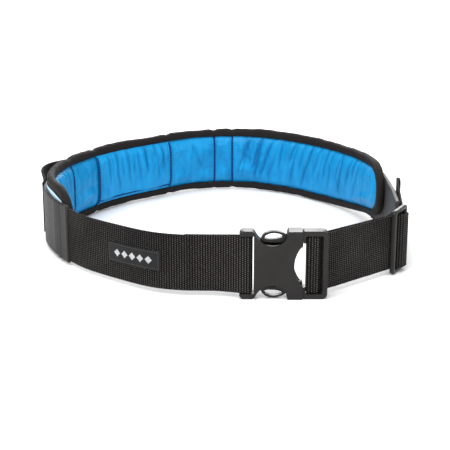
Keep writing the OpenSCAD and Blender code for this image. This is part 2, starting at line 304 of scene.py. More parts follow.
class Nodes:
    """Short ways to add shader nodes."""

    def __init__(self, mat):
        self.tree = mat.node_tree

    def add(self, kind, **values):
        node = self.tree.nodes.new(kind)
        for k, v in values.items():
            setattr(node, k, v)
        return node

    def link(self, a, b):
        self.tree.links.new(a, b)

    def put(self, value, socket):
        if hasattr(value, "links"):
            self.link(value, socket)
        else:
            socket.default_value = value

    def math(self, op, a, b=0.0, c=0.0):
        node = self.add("ShaderNodeMath", operation=op)
        self.put(a, node.inputs[0])
        self.put(b, node.inputs[1])
        self.put(c, node.inputs[2])
        return node.outputs[0]

    def noise(self, vector, scale, detail=3.0, rough=0.5):
        node = self.add("ShaderNodeTexNoise")
        self.put(vector, node.inputs["Vector"])
        node.inputs["Scale"].default_value = scale
        node.inputs["Detail"].default_value = detail
        node.inputs["Roughness"].default_value = rough
        return node.outputs["Fac"]

    def ramp(self, fac, stops):
        node = self.add("ShaderNodeValToRGB")
        self.put(fac, node.inputs[0])
        while len(node.color_ramp.elements) < len(stops):
            node.color_ramp.elements.new(0.5)
        for e, (pos, col) in zip(node.color_ramp.elements, stops):
            e.position = pos
            e.color = (*col, 1)
        return node.outputs[0]

    def span(self, fac, lo, hi, a, b):
        node = self.add("ShaderNodeMapRange")
        self.put(fac, node.inputs["Value"])
        for k, v in (("From Min", lo), ("From Max", hi), ("To Min", a), ("To Max", b)):
            node.inputs[k].default_value = v
        return node.outputs[0]

    def bump(self, height, strength, distance, normal=None):
        node = self.add("ShaderNodeBump")
        node.inputs["Strength"].default_value = strength
        node.inputs["Distance"].default_value = distance
        self.put(height, node.inputs["Height"])
        if normal is not None:
            self.link(normal, node.inputs["Normal"])
        return node.outputs["Normal"]

    def uv_mm(self):
        """UV coordinates in millimetres, along and across."""
        uv = self.add("ShaderNodeUVMap", uv_map="UVMap")
        split = self.add("ShaderNodeSeparateXYZ")
        self.link(uv.outputs[0], split.inputs[0])
        return tuple(self.math("MULTIPLY", split.outputs[i], 1000.0) for i in range(2))

    def place(self):
        return self.add("ShaderNodeTexCoord").outputs["Object"]

    def ridges(self, value, rate):
        """A row of round ridges: the size of a sine."""
        return self.math("ABSOLUTE", self.math("SINE", self.math("MULTIPLY", value, rate)))

    def centred(self, value, scale, base):
        """base + scale * (value - 0.5)"""
        return self.math("MULTIPLY_ADD", self.math("SUBTRACT", value, 0.5), scale, base)


def weave_height(n, along, across):
    """Ribs across the webbing, each a row of raised floats set off by half a step from the next."""
    row = n.math("DIVIDE", along, RIB)
    half = n.math("MULTIPLY", n.math("MODULO", n.math("FLOOR", row), 2.0), 0.5)
    col = n.math("ADD", n.math("DIVIDE", across, FLOAT_STEP), half)
    ridge_r, ridge_c = n.ridges(row, math.pi), n.ridges(col, math.pi)
    return n.math("MULTIPLY", n.math("POWER", ridge_r, 1.1), n.math("POWER", ridge_c, 0.7))


def times(color, factor):
    return tuple(factor * c for c in color)


def webbing_material():
    dark, light = (0.0025, 0.0023, 0.0025), (0.068, 0.062, 0.058)
    mat, bsdf = new_material("black_webbing", (0.02, 0.02, 0.02), 0.72, specular=0.12)
    n = Nodes(mat)
    along, across = n.uv_mm()
    h = weave_height(n, along, across)
    fuzz = n.noise(n.place(), 900.0, 2.0)
    patch = n.noise(n.place(), 22.0, 2.0)
    # painted highlight and shade: the weave's raised floats are coloured lighter and the grooves
    # between them darker; the two noises add random tone
    tone = n.centred(patch, 0.35, n.centred(fuzz, 0.5, h))
    n.link(n.ramp(tone, [(0.36, dark), (0.70, times(light, 0.3)), (1.0, times(light, 1.4))]),
           bsdf.inputs["Base Color"])
    n.link(n.span(tone, 0.0, 1.0, 0.85, 0.55), bsdf.inputs["Roughness"])
    height = n.math("ADD", h, n.math("MULTIPLY", fuzz, 0.15))
    n.link(n.bump(height, 0.85, 0.00045), bsdf.inputs["Normal"])
    return mat


def lining_material(name, tint):
    deep, bright = times((0.004, 0.195, 0.47), tint), times((0.006, 0.285, 0.62), tint)
    mat, bsdf = new_material(name, bright, 0.45, specular=0.16)
    n = Nodes(mat)
    along, across = n.uv_mm()
    fine = n.math("MULTIPLY", n.math("SINE", n.math("MULTIPLY", along, 2 * math.pi / 0.45)),
                  n.math("SINE", n.math("MULTIPLY", across, 2 * math.pi / 0.45)))
    cloud = n.noise(n.place(), 35.0, 3.0)
    streak_map = n.add("ShaderNodeCombineXYZ")
    n.put(n.math("MULTIPLY", along, 0.16), streak_map.inputs[0])
    n.put(n.math("MULTIPLY", across, 0.03), streak_map.inputs[1])
    streak = n.noise(streak_map.outputs[0], 1.0, 4.0, 0.6)
    tone = n.math("ADD", n.math("MULTIPLY", cloud, 0.4), n.math("MULTIPLY", streak, 0.6))
    shine = tuple(c * 1.12 + 0.01 for c in bright)
    cloth = n.ramp(tone, [(0.30, deep), (0.52, bright), (0.75, shine)])
    # painted shade: the mesh's 'fold' attribute mixes the cloth towards navy in the pleats' valleys
    # and along the seams, where shade falls
    painted_shade = n.add("ShaderNodeAttribute", attribute_name="fold")
    mix = n.add("ShaderNodeMix", data_type="RGBA")
    n.link(painted_shade.outputs["Fac"], mix.inputs["Factor"])
    n.link(cloth, mix.inputs["A"])
    mix.inputs["B"].default_value = (0.001, 0.06, 0.24, 1)
    n.link(mix.outputs["Result"], bsdf.inputs["Base Color"])
    n.link(n.span(streak, 0.3, 0.7, 0.5, 0.34), bsdf.inputs["Roughness"])
    first = n.bump(fine, 0.12, 0.0001)
    n.link(n.bump(streak, 0.35, 0.0012, first), bsdf.inputs["Normal"])
    return mat


def binding_material():
    mat, bsdf = new_material("black_binding", (0.012, 0.012, 0.013), 0.75, specular=0.18)
    n = Nodes(mat)
    along, _ = n.uv_mm()
    fuzz = n.noise(n.place(), 700.0, 2.0)
    tone = n.centred(fuzz, 0.6, n.ridges(along, math.pi / 0.75))
    n.link(n.ramp(tone, [(0.1, (0.0035, 0.003, 0.003)), (1.0, (0.022, 0.018, 0.017))]),
           bsdf.inputs["Base Color"])
    n.link(n.bump(tone, 0.6, 0.0002), bsdf.inputs["Normal"])
    return mat


def nylon_material(name, dark, light, rough):
    mat, bsdf = new_material(name, light, rough, specular=0.25)
    n = Nodes(mat)
    along, across = n.uv_mm()
    fine = n.math("MULTIPLY", n.ridges(along, math.pi / 0.55), n.ridges(across, math.pi / 0.55))
    cloud = n.noise(n.place(), 60.0, 3.0)
    tone = n.math("ADD", n.math("MULTIPLY", fine, 0.5), n.math("MULTIPLY", cloud, 0.5))
    n.link(n.ramp(tone, [(0.15, dark), (0.8, light)]), bsdf.inputs["Base Color"])
    n.link(n.bump(tone, 0.4, 0.0002), bsdf.inputs["Normal"])
    return mat


def plastic_material():
    mat, bsdf = new_material("black_plastic", (0.03, 0.028, 0.027), 0.42, specular=0.27)
    n = Nodes(mat)
    grain = n.noise(n.place(), 2600.0, 2.0)
    cloud = n.noise(n.place(), 45.0, 3.0)
    scuff_map = n.add("ShaderNodeMapping")
    n.put(n.place(), scuff_map.inputs["Vector"])
    scuff_map.inputs["Scale"].default_value = (60, 60, 700)
    scuff = n.noise(scuff_map.outputs[0], 1.0, 3.0)
    n.link(n.ramp(cloud, [(0.3, (0.010, 0.0092, 0.009)), (0.7, (0.019, 0.0175, 0.0165))]),
           bsdf.inputs["Base Color"])
    wear = n.math("ADD", n.math("MULTIPLY", cloud, 0.5), n.math("MULTIPLY", scuff, 0.5))
    n.link(n.span(wear, 0.35, 0.65, 0.36, 0.5), bsdf.inputs["Roughness"])
    n.link(n.bump(grain, 0.25, 0.00008), bsdf.inputs["Normal"])
    return mat


def thread_material(name, color):
    mat, bsdf = new_material(name, color, 0.6, specular=0.2)
    n = Nodes(mat)
    twist = n.noise(n.place(), 1800.0, 2.0)
    n.link(n.ramp(twist, [(0.35, times(color, 0.6)), (0.65, color)]), bsdf.inputs["Base Color"])
    n.link(n.bump(twist, 0.5, 0.0001), bsdf.inputs["Normal"])
    return mat


M_WEB = webbing_material()
M_LINE = lining_material("blue_lining", 1.0)
M_PATCH = lining_material("blue_patch", 1.06)
M_BIND = binding_material()
M_SLEEVE = nylon_material("grey_nylon", (0.018, 0.017, 0.017), (0.038, 0.036, 0.036), 0.55)
M_SHELL = nylon_material("shell_nylon", (0.010, 0.010, 0.010), (0.028, 0.027, 0.027), 0.6)
# blue cloth painted near white: a painted highlight for the strong light on the facing strip
M_HIGHLIT_BLUE = nylon_material("pale_cloth", (0.45, 0.70, 0.90), (0.66, 0.86, 0.98), 0.5)
M_LABEL = nylon_material("label_black", (0.005, 0.005, 0.0055), (0.014, 0.014, 0.015), 0.5)
M_BORDER = thread_material("border_thread", (0.12, 0.12, 0.12))
M_PLASTIC = plastic_material()
M_THREAD = thread_material("black_thread", (0.022, 0.021, 0.021))
M_BLUE_THREAD = thread_material("blue_thread", (0.002, 0.035, 0.19))
M_WHITE = thread_material("white_thread", (0.80, 0.81, 0.83))


# ---------------------------------------------------------------- main webbing, on the belt body
def round_bar(centre, radius, degrees):
    """Points on an arc round a bar."""
    return [centre + radius * np.array([math.cos(a), math.sin(a)]) for a in np.radians(degrees)]


# the fold round the socket's bar
turn = round_bar(np.array([18.2, 6.5]), 4.0, np.arange(-80, 81, 20))
fold_points = ([(-22, 8.55), (-8, 7.95), (4.2, 5.4), (12.2, 3.3)] + turn
               + [(12.2, 9.7), (4.2, 9.95), (-8, 10.1), (-22, 10.6), (-34, 11.2)])
before = ring_points[ring_u <= 18.0][::6]
main_points, _ = spline(np.vstack([before, np.array(fold_points)]), per=8)
MAIN = Path(main_points)
start = s_of(0.55)
main_web = webbing("main_webbing", MAIN, start, MAIN.length, seed=2.0)
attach(main_web, "belt")
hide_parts("back_webbing", "left_strap", "socket_loop")


def surface_row(path, s_values, d, z_values, out=-1):
    """Points at depth d of a path, with normals that point outward, or inward where out is 1."""
    s_values, d, z_values = np.broadcast_arrays(np.asarray(s_values, float), d, z_values)
    return to_frame(*path.at(s_values, d), z_values), out * path.inward(s_values)


rows = []
ACROSS = np.linspace(WEB_Z0 + 2.5, WEB_Z1 - 2.5, 30)
by_socket = (MAIN.s > s_of(17)) & (MAIN.s < s_of(19))
for x_mm in (-30.5, -28.3, -9.5):
    s_here = float(np.interp(x_mm, MAIN.p[by_socket][:, 0], MAIN.s[by_socket]))
    pts, nrm = surface_row(MAIN, s_here, -WEB_T / 2 - 0.1, ACROSS)
    rows.append(stitches("row", pts, nrm, M_THREAD))
loop_thread = join("loop_thread", rows)
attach(loop_thread, "belt")
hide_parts("loop_stitching")


# ---------------------------------------------------------------- label
LAB0, LAB1 = s_of(15.78), s_of(17.26)
LAB_Z0, LAB_Z1 = ZC - 9, ZC + 9
LAB_INSET = 1.6  # the border's row of thread, from the label's edge
LAB_TOP = -WEB_T / 2 - 0.72  # depth of the border's thread


def label_shape():
    """The woven label, with its rim turned down and a groove under the border's thread."""
    n_s, n_z = 60, 26
    s = np.linspace(LAB0, LAB1, n_s)
    z = np.linspace(LAB_Z0, LAB_Z1, n_z)
    S, Z = np.meshgrid(s, z, indexing="ij")
    rim = np.minimum(np.minimum(S - LAB0, LAB1 - S), np.minimum(Z - LAB_Z0, LAB_Z1 - Z))
    lift = (0.75 - 0.75 * np.exp(-(np.maximum(rim, 0) / 0.5) ** 2)
            - 0.22 * np.exp(-((rim - LAB_INSET) / 0.45) ** 2))
    x, y = RING.at(S, -WEB_T / 2 - 0.05 - lift)
    verts = to_frame(x, y, Z).reshape(-1, 3)
    uv = np.stack([S, Z], -1).reshape(-1, 2) * MM
    front = make_object("label", verts, grid_faces(n_s, n_z), uv, M_LABEL)
    thicken(front, 0.4)
    return front


label = label_shape()
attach(label, "belt")
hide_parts("label_patch")

ends_s, ends_z = (LAB0 + LAB_INSET, LAB1 - LAB_INSET), (LAB_Z0 + LAB_INSET, LAB_Z1 - LAB_INSET)
border = []
for s, z in ([(np.linspace(*ends_s, 40), z) for z in ends_z]
             + [(s, np.linspace(*ends_z, 12)) for s in ends_s]):
    pts, nrm = surface_row(RING, s, LAB_TOP, z)
    border.append(stitches("b", pts, nrm, M_BORDER, width=0.45, pitch=2.2))
label_thread = join("label_thread", border)
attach(label_thread, "belt")
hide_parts("label_stitching")


def motif():
    """A plain row of small woven diamonds, each of fine parallel satin stitches."""
    apart, pitch, high = 8.4, 0.62, 3.4
    verts, faces = [], []
    for i in range(5):
        c = (LAB0 + LAB1) / 2 + (i - 2) * apart
        for k in range(-5, 6):
            s = c + k * pitch
            half = high - abs(k) * pitch
            if half <= 0.2:
                continue
            base = len(verts)
            for ds, lift in ((-0.27, 0.0), (0.0, 0.22), (0.27, 0.0)):
                for z in (-half, half):
                    x, y = RING.at(s + ds, -WEB_T / 2 - 0.83 - lift)
                    verts.append(to_frame(x, y, ZC + z))
            faces += [tuple(base + i for i in f)
                      for f in ((0, 1, 3, 2), (2, 3, 5, 4), (0, 2, 4), (1, 5, 3), (0, 4, 5, 1))]
    return make_object("label_diamonds", verts, faces, None, M_WHITE, smooth=False)


diamonds = motif()
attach(diamonds, "belt")
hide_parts("label_motif")


# ---------------------------------------------------------------- pad
def s_where(y_mm, lo, hi):
    """Ring length, between two plan parameters, where the pad's middle depth crosses y."""
    s = np.linspace(s_of(lo), s_of(hi), 400)
    _, y = RING.at(s, (D_SHELL + D_FACE) / 2)
    return float(s[np.argmin(np.abs(y - y_mm))])


PAD_S0 = s_where(176.0, 1.5, 3.5)
PAD_S1 = s_where(92.0, 13, 15.5)
R_RIGHT, R_LEFT = 34.0, 29.0  # how round the pad's ends are
# quilting seams across the lining, and the ends of the panel sewn on it
SEAMS = [s_of(u) for u in (7.11, 7.53, 11.25)]
PATCH_S0, PATCH_S1 = s_of(8.52), s_of(10.34)


def pad_outline():
    """The pad's edge, as (s, z) all the way round, with the inward direction at each point."""
    r0, r1 = R_RIGHT, R_LEFT
    a, b = PAD_S0, PAD_S1
    pts = []

    def arc(cx, cz, r, t0, t1):
        for t in np.linspace(t0, t1, 14):
            pts.append((cx + r * math.cos(t), cz + r * math.sin(t), -math.cos(t), -math.sin(t)))

    def line(x0, z0, x1, z1, nx, nz):
        n = max(1, int(math.hypot(x1 - x0, z1 - z0) / 3.0))
        for i in range(1, n):
            t = i / n
            pts.append((x0 + (x1 - x0) * t, z0 + (z1 - z0) * t, nx, nz))

    arc(a + r0, r0, r0, math.pi, 1.5 * math.pi)
    line(a + r0, 0, b - r1, 0, 0, 1)
    arc(b - r1, r1, r1, 1.5 * math.pi, 2 * math.pi)
    line(b, r1, b, PAD_H - r1, -1, 0)
    arc(b - r1, PAD_H - r1, r1, 0, 0.5 * math.pi)
    line(b - r1, PAD_H, a + r0, PAD_H, 0, -1)
    arc(a + r0, PAD_H - r0, r0, 0.5 * math.pi, math.pi)
    line(a, PAD_H - r0, a, r0, 1, 0)
    return np.array(pts)


def pad_z(s, z):
    """Height of a point of the pad, whose lower edge is drawn up at the back and the right end."""
    lift = 1.6 * np.exp(-((s - s_of(8.3)) / 130) ** 2) + 13.0 * np.exp(-((s - PAD_S0) / 75) ** 2)
    return z + lift * np.clip(1 - z / PAD_H, 0, 1)


def edge_gap(s, z):
    """Distance inside the pad's rounded outline, in mm; negative outside."""
    s, z = np.asarray(s, float), np.asarray(z, float)
    r = np.where(s < (PAD_S0 + PAD_S1) / 2, R_RIGHT, R_LEFT)
    qx = np.abs(s - (PAD_S0 + PAD_S1) / 2) - (PAD_S1 - PAD_S0) / 2 + r
    qz = np.abs(z - PAD_H / 2) - PAD_H / 2 + r
    outside = np.hypot(np.maximum(qx, 0), np.maximum(qz, 0))
    return r - outside - np.minimum(np.maximum(qx, qz), 0)


BIND_W = 8.2  # how far the tape covers each face
COVERED = 8.4  # the lining is held down this far in from the pad's edge
PINCH = 4.5  # how much thinner the pad is at its bound edge than in the middle
EDGE_D = D_FACE - PINCH + 0.65  # depth of the face at the edge
TUCK, END_TUCK = 3.0, 2.5  # how far in from the tape's edge the sheets end


def bed(s, z):
    """Depth at which the lining lies on the foam, which the binding presses thin at the edge."""
    return D_FACE - 0.5 - PINCH * np.exp(-np.maximum(edge_gap(s, z) - COVERED, 0) / 5)


def binding():
    """Tape folded over the edge: a U-shaped section swept round the outline."""
    out = pad_outline()
    mid = (D_SHELL + EDGE_D) / 2
    half = (EDGE_D - D_SHELL) / 2 + CLOTH
    face, back = mid + half, mid - half
    fold = 3.0  # the tape turns over the edge from here
    verts, uvs = [], []
    run = 0.0
    for i, (s, z, ns, nz) in enumerate(out):
        if i:
            run += math.hypot(s - out[i - 1][0], z - out[i - 1][1])
        w = 0.5 * wobble(run / 11, seed=4) + 0.3 * wobble(run / 4.5, seed=6)
        edge = 0.55 * wobble(run / 8, seed=41) + 0.25 * wobble(run / 3.5, seed=43)
        nip = sum(math.exp(-((s - m) / 3.5) ** 2) for m in SEAMS + [PATCH_S0, PATCH_S1])
        edge += 1.3 * wobble(run / 24, seed=45) + 1.5 * nip
        edge = edge if nz < -0.3 else max(0.0, edge)
        crease = 0.35 * wobble(run / 6, seed=44)
        prof = [(face - 0.35, BIND_W + w), (face + 0.15, BIND_W + w - 0.3)]
        prof += [(face + 0.35 - 0.2 * t, (BIND_W + w) * (1 - t) + fold * t)
                 for t in (0.25, 0.6, 1.0)]
        prof += [(mid + half * math.cos(t), fold - fold * math.sin(t))
                 for t in np.linspace(0.15, math.pi - 0.15, 11)]
        prof += [(back - 0.1, fold), (back - 0.1, BIND_W), (back + 0.5, BIND_W + 0.2),
                 (back + 1.2, BIND_W - 0.5), (back + 1.6, 3.6), (mid, 2.0), (face - 1.6, 3.6),
                 (face - 1.1, BIND_W - 0.6)]
        v = 0.0
        for j, (d, e) in enumerate(prof):
            if j:
                v += math.hypot(d - prof[j - 1][0], e - prof[j - 1][1])
            d += crease * (1 if d > mid else 0) * min(1, e / 3)
            here = e + edge * max(0.0, 1 - e / BIND_W)
            x, y = RING.at(s + ns * here, d)
            verts.append(to_frame(x, y, pad_z(s + ns * here, z + nz * here)))
            uvs.append((run * MM, v * MM))
    cols = len(prof)
    rows_n = len(out)
    faces = grid_faces(rows_n, cols, wrap=True)
    for j in range(cols):
        k = (j + 1) % cols
        faces.append(((rows_n - 1) * cols + j, j, k, (rows_n - 1) * cols + k))
    return make_object("edge_tape", verts, faces, uvs, M_BIND)


tape = binding()
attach(tape, "belt")
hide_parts("edge_binding")


def pleats(seed, s_from, s_to, spacing, slope, z_top, z_low, amp, width):
    """Uneven valleys across the lining: place, slope, top and low end, depth and width of each."""
    rng = np.random.default_rng(seed)
    out, s = [], s_from + spacing * 0.5
    while s < s_to - spacing * 0.3:
        k = rng.uniform(0, 1, 6)
        out.append((s + (k[0] - 0.5) * spacing * 0.5, slope * (0.7 + 0.6 * k[1]),
                    z_top - 8 * k[2], z_low + 22 * k[3] ** 1.5,
                    amp * (0.55 + 0.7 * k[4]), width * (0.8 + 0.5 * k[5])))
        s += spacing * (0.75 + 0.5 * k[3])
    return out


def fold_height(S, Z, valleys, seed):
    """Height of the cloth from its pleats: a valley between a high and a low ridge."""
    h = np.zeros(S.shape)
    for n, (s0, slope, top, low, amp, width) in enumerate(valleys):
        sway = np.array([1.1 * wobble(z / 14, n * 3.0, seed=seed) for z in Z[0]])[None, :]
        x = S - (s0 + slope * (Z - ZC) + sway)
        reach = np.clip((Z - low) / 14, 0, 1) * np.clip((top + 6 - Z) / 8, 0, 1)
        high = 0.55 * np.exp(-((x - 2.6 * width) / (1.7 * width)) ** 2)
        small = 0.25 * np.exp(-((x + 3 * width) / (2 * width)) ** 2)
        h += reach * amp * (high - np.exp(-(np.abs(x) / width) ** 1.3) + small)
    return h


def simulate(obj, hold):
    """Where the points go when pressure lifts the cloth between the lines that hold it."""
    group = obj.vertex_groups.new(name="hold")
    weight = np.clip(1.0 - hold / 1.6, 0, 1).ravel()
    for i in np.nonzero(weight > 0)[0]:
        group.add([int(i)], float(weight[i]), "REPLACE")
    cloth = obj.modifiers.new("cloth", "CLOTH")
    cs = cloth.settings
    cs.quality = 5
    cs.mass = 0.15
    cs.tension_stiffness = cs.compression_stiffness = 25
    cs.shear_stiffness = 10
    cs.bending_stiffness = 0.15
    cs.use_pressure = True
    cs.uniform_pressure_force = 3.0
    cs.effector_weights.gravity = 0
    cs.vertex_group_mass = "hold"
    cs.pin_stiffness = 1.0
    cs.shrink_min = cs.shrink_max = -0.04
    cloth.collision_settings.use_collision = False
    frames = 20
    cloth.point_cache.frame_start, cloth.point_cache.frame_end = 1, frames
    for f in range(1, frames + 1):
        bpy.context.scene.frame_set(f)
    done = obj.evaluated_get(bpy.context.evaluated_depsgraph_get())
    co = np.zeros(len(obj.data.vertices) * 3)
    done.data.vertices.foreach_get("co", co)
    obj.modifiers.remove(cloth)
    bpy.context.scene.frame_set(1)
    return co.reshape(-1, 3)


def trimmed(faces, gap):
    """The faces that lie inside the pad's edge, renumbered, and the points that they use."""
    inside = gap.ravel() > TUCK
    faces = [f for f in faces if all(inside[i] for i in f)]
    used = sorted({i for f in faces for i in f})
    index = {v: i for i, v in enumerate(used)}
    return [tuple(index[i] for i in f) for f in faces], used


CLOTH_STEP_S, CLOTH_STEP_Z = 1.35, 1.8  # the sheets' mesh


def cloth_sheet(name, marks, z0, z1, lift, material, seed, puff, valleys, limit, flat=None):
    """A sewn sheet of lining, puffed by cloth simulation between the seams that hold it.

    flat is the span that lies under another sheet and stays flat.
    """
    holds = SEAMS + [PATCH_S0, PATCH_S1] if flat else [PATCH_S0, PATCH_S1]
    s = np.concatenate([np.linspace(a, b, max(3, int((b - a) / CLOTH_STEP_S)))[:-1]
                        for a, b in zip(marks, marks[1:])] + [[marks[-1]]])
    z = np.linspace(z0, z1, int((z1 - z0) / CLOTH_STEP_Z))
    S, Z = np.meshgrid(s, z, indexing="ij")
    gap = edge_gap(S, Z)
    near = np.minimum.reduce([np.abs(S - m) for m in holds])
    base = bed(S, Z) + lift
    hold = np.clip(np.minimum(gap - COVERED, near), 0, None)
    crown = 1.0 - np.exp(-hold / 4.5)
    if flat:
        crown = crown * np.where((S > flat[0]) & (S < flat[1]), 0.1, 1.0)
    soft = np.array([[wobble(a / 16, b / 30, seed=seed) for b in z] for a in s])
    out = base + crown * (puff + 0.45 * soft)
    x, y = RING.at(S, out)
    rest = to_frame(x, y, pad_z(S, Z))
    normal = RING.inward(S)
    uv = np.stack([S, Z], -1).reshape(-1, 2) * MM
    faces = grid_faces(len(s), len(z), flip=True)
    rise = np.zeros(S.shape)
    trial = make_object(name + "_trial", rest.reshape(-1, 3), faces)
    moved = simulate(trial, hold).reshape(rest.shape)
    rise = np.clip(((moved - rest) * normal).sum(-1) / MM, -0.5 * puff, limit) * crown
    mesh = trial.data
    bpy.data.objects.remove(trial)
    bpy.data.meshes.remove(mesh)
    crease = fold_height(S, Z, valleys, seed)
    rise = rise + crease * (1 - np.exp(-hold / 1.3)) * (crown > 0.11)
    # painted shade: darker in the pleats' valleys and near the seams and sewn edges that hold the
    # sheet, kept in the 'fold' attribute that darkens the lining's colour
    dark = np.clip(-crease / 2.4, 0, 0.6) + 0.6 * np.exp(-near / 1.3)
    rise = np.maximum(rise, base + 0.1 - out)
    points = (rest + (rise * MM)[..., None] * normal).reshape(-1, 3)
    faces, used = trimmed(faces, gap)
    obj = make_object(name, points[used], faces, uv[used], material)
    tint = obj.data.attributes.new("fold", "FLOAT", "POINT")
    tint.data.foreach_set("value", np.clip(dark, 0, 0.85).ravel()[used])
    thicken(obj, LINING_T)
    sub = obj.modifiers.new("soft", "SUBSURF")
    sub.levels = sub.render_levels = 1
    return obj


TOP_Z, LOW_Z = PAD_H - BIND_W, BIND_W
SLANT = -0.28  # lean of the pleats on the right half
lining_folds = (pleats(5, PAD_S0 + 62, SEAMS[0] - 2, 9.0, SLANT, TOP_Z, LOW_Z, 2.2, 1.7)
                + pleats(6, SEAMS[1] + 8, PATCH_S0 - 4, 19.0, 0.5, TOP_Z - 6, LOW_Z + 6, 0.6, 3.0)
                + pleats(7, PATCH_S1 + 3, SEAMS[2], 14.0, 0.1, TOP_Z, LOW_Z, 0.6, 1.8)
                + pleats(8, SEAMS[2] + 3, PAD_S1 - 12, 9.0, 0.2, TOP_Z, LOW_Z, 1.2, 1.6))
lining_marks = [PAD_S0 + END_TUCK] + sorted(SEAMS + [PATCH_S0, PATCH_S1]) + [PAD_S1 - END_TUCK]
lining = cloth_sheet("lining", lining_marks, TUCK, PAD_H - TUCK, 0.0, M_LINE, 11.0, 2.0,
                     lining_folds, 2.6, flat=(PATCH_S0, PATCH_S1))
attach(lining, "belt")
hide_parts("inner_lining", "foam_core")

panel_folds = pleats(9, PATCH_S0 + 5, PATCH_S1 - 14, 7.2, 0.06, TOP_Z - 1, LOW_Z + 4, 1.6, 1.5)
patch = cloth_sheet("lining_panel", [PATCH_S0, PATCH_S1], LOW_Z - 0.5, TOP_Z + 0.5, 1.2,
                    M_PATCH, 23.0, 1.4, panel_folds, 1.6)
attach(patch, "belt")
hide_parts("lining_patch")


def seam_rows(name, rows_at, depth, z0, z1, replaced, extra=()):
    """Rows of thread up the lining, and any extra rows along it, as one piece."""
    parts = []
    for s in rows_at:
        flat_z = np.linspace(z0, z1, 30)
        pts, nrm = surface_row(RING, s, bed(s, flat_z) + depth, pad_z(s, flat_z), out=1)
        parts.append(stitches("r", pts, nrm, M_BLUE_THREAD, width=2.1, high=0.55, share=0.96,
                              pitch=3.0))
    for s0, s1, z in extra:
        ss = np.linspace(s0, s1, 60)
        pts, nrm = surface_row(RING, ss, bed(ss, z) + depth, pad_z(ss, z), out=1)
        parts.append(stitches("r", pts, nrm, M_BLUE_THREAD, width=1.7, high=0.55, share=0.9,
                              pitch=3.0))
    obj = join(name, parts)
    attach(obj, "belt")
    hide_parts(replaced)
    return obj


seam_rows("lining_thread", SEAMS, 0.75, LOW_Z + 0.5, TOP_Z - 0.5, "lining_stitching")
seam_rows("panel_thread", (PATCH_S0 + 0.9, PATCH_S1 - 0.9), 2.1, LOW_Z + 1, TOP_Z - 1,
          "patch_stitching", extra=((PATCH_S0 + 2, PATCH_S1 - 2, LOW_Z + 4.0),))


def shell():
    """The pad's outer cloth, a little uneven."""
    n_s, n_z = int((PAD_S1 - PAD_S0) / 4), 22
    s = np.linspace(PAD_S0 + END_TUCK, PAD_S1 - END_TUCK, n_s)
    z = np.linspace(TUCK, PAD_H - TUCK, n_z)
    S, Z = np.meshgrid(s, z, indexing="ij")
    d = np.full(S.shape, D_SHELL - 0.3)
    for i in range(n_s):
        for j in range(n_z):
            d[i, j] -= 0.25 * wobble(s[i] / 12, z[j] / 9, seed=31)
    x, y = RING.at(S, d)
    faces, used = trimmed(grid_faces(n_s, n_z), edge_gap(S, Z))
    verts = to_frame(x, y, pad_z(S, Z)).reshape(-1, 3)[used]
    uv = (np.stack([S, Z], -1).reshape(-1, 2) * MM)[used]
    obj = make_object("shell_cloth", verts, faces, uv, M_SHELL)
    thicken(obj, LINING_T)
    return obj


shell_cloth = shell()
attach(shell_cloth, "belt")
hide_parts("outer_shell")


# ---------------------------------------------------------------- sleeves, facing and handle
def sleeve(name, s0, s1, low, high, seed, creases, cad):
    """A cloth tunnel round the webbing, creased across, with a turned hem at each end."""
    zs = np.linspace(WEB_Z0 - low + 1, WEB_Z1 + high - 1, 30)
    prof = [(-2.1, z) for z in zs]
    prof += [(-0.6 - 1.5 * math.cos(a), WEB_Z1 + high - 1 + math.sin(a)) for a in HALF_TURN]
    prof += [(1.3, z) for z in zs[::-1][::3]]
    prof += [(-0.6 + 1.5 * math.cos(a), WEB_Z0 - low + 1 - math.sin(a)) for a in HALF_TURN]

    def shape(s, d, z):
        front = d < -1.0
        t = (s - s0) / (s1 - s0)
        puff = np.zeros_like(s)
        for at, wide, high_by in creases:
            puff += high_by * np.exp(-((t - at) / wide) ** 2)
        for i in range(s.shape[0]):
            puff[i] += 0.3 * wobble(s[i, 0] / 16.0, seed=seed) + 0.2
        hem = 0.35 * np.exp(-((np.minimum(t, 1 - t) * (s1 - s0) - 1.5) / 1.2) ** 2)
        d = np.where(front, d - puff - hem, d)
        z = z + np.where(z > ZC, 1, -1) * 0.5 * np.sin(t * 11 + seed) * (np.abs(z - ZC) > 20)
        return s, d, z

    obj = sweep(name, RING, np.linspace(s0, s1, int((s1 - s0) / 1.5)), prof, M_SLEEVE, deform=shape)
    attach(obj, "belt")
    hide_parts(cad)
    return obj


sleeve("left_cover", s_of(11.75), s_of(14.55), 1.6, 1.6, 3.0,
       [(0.86, 0.018, 0.9), (0.83, 0.012, -0.8), (0.76, 0.02, 0.5), (0.4, 0.09, 0.5)],
       "left_sleeve")
sleeve("right_cover", s_of(0.4), s_of(3.4), 1.5, 2.5, 5.0,
       [(0.1, 0.03, 0.1), (0.3, 0.04, 0.2), (0.55, 0.05, 0.4)], "right_sleeve")


def facing():
    """The strip that stands up between the pad and its left sleeve: blue cloth painted pale, near
    white, as a highlight where strong light falls on it.
    """
    s = np.linspace(s_of(12.75), s_of(14.25), 40)
    rows_z = np.linspace(0, 1, 8)
    verts, uv = [], []
    for a in s:
        t = (a - s[0]) / (s[-1] - s[0])
        top = WEB_Z1 + 1.0 + 4.6 * math.sin(math.pi * min(1, max(0, t))) ** 0.7
        for v in rows_z:
            z = WEB_Z1 - 4 + (top - WEB_Z1 + 4) * v
            x, y = RING.at(a, 1.35 - 1.0 * v)
            verts.append(to_frame(x, y, z))
            uv.append((a * MM, z * MM))
    obj = make_object("facing_painted_highlight", verts, grid_faces(len(s), 8), uv, M_HIGHLIT_BLUE)
    thicken(obj, 0.5)
    return obj


highlit_facing = facing()
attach(highlit_facing, "belt")
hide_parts("left_facing")

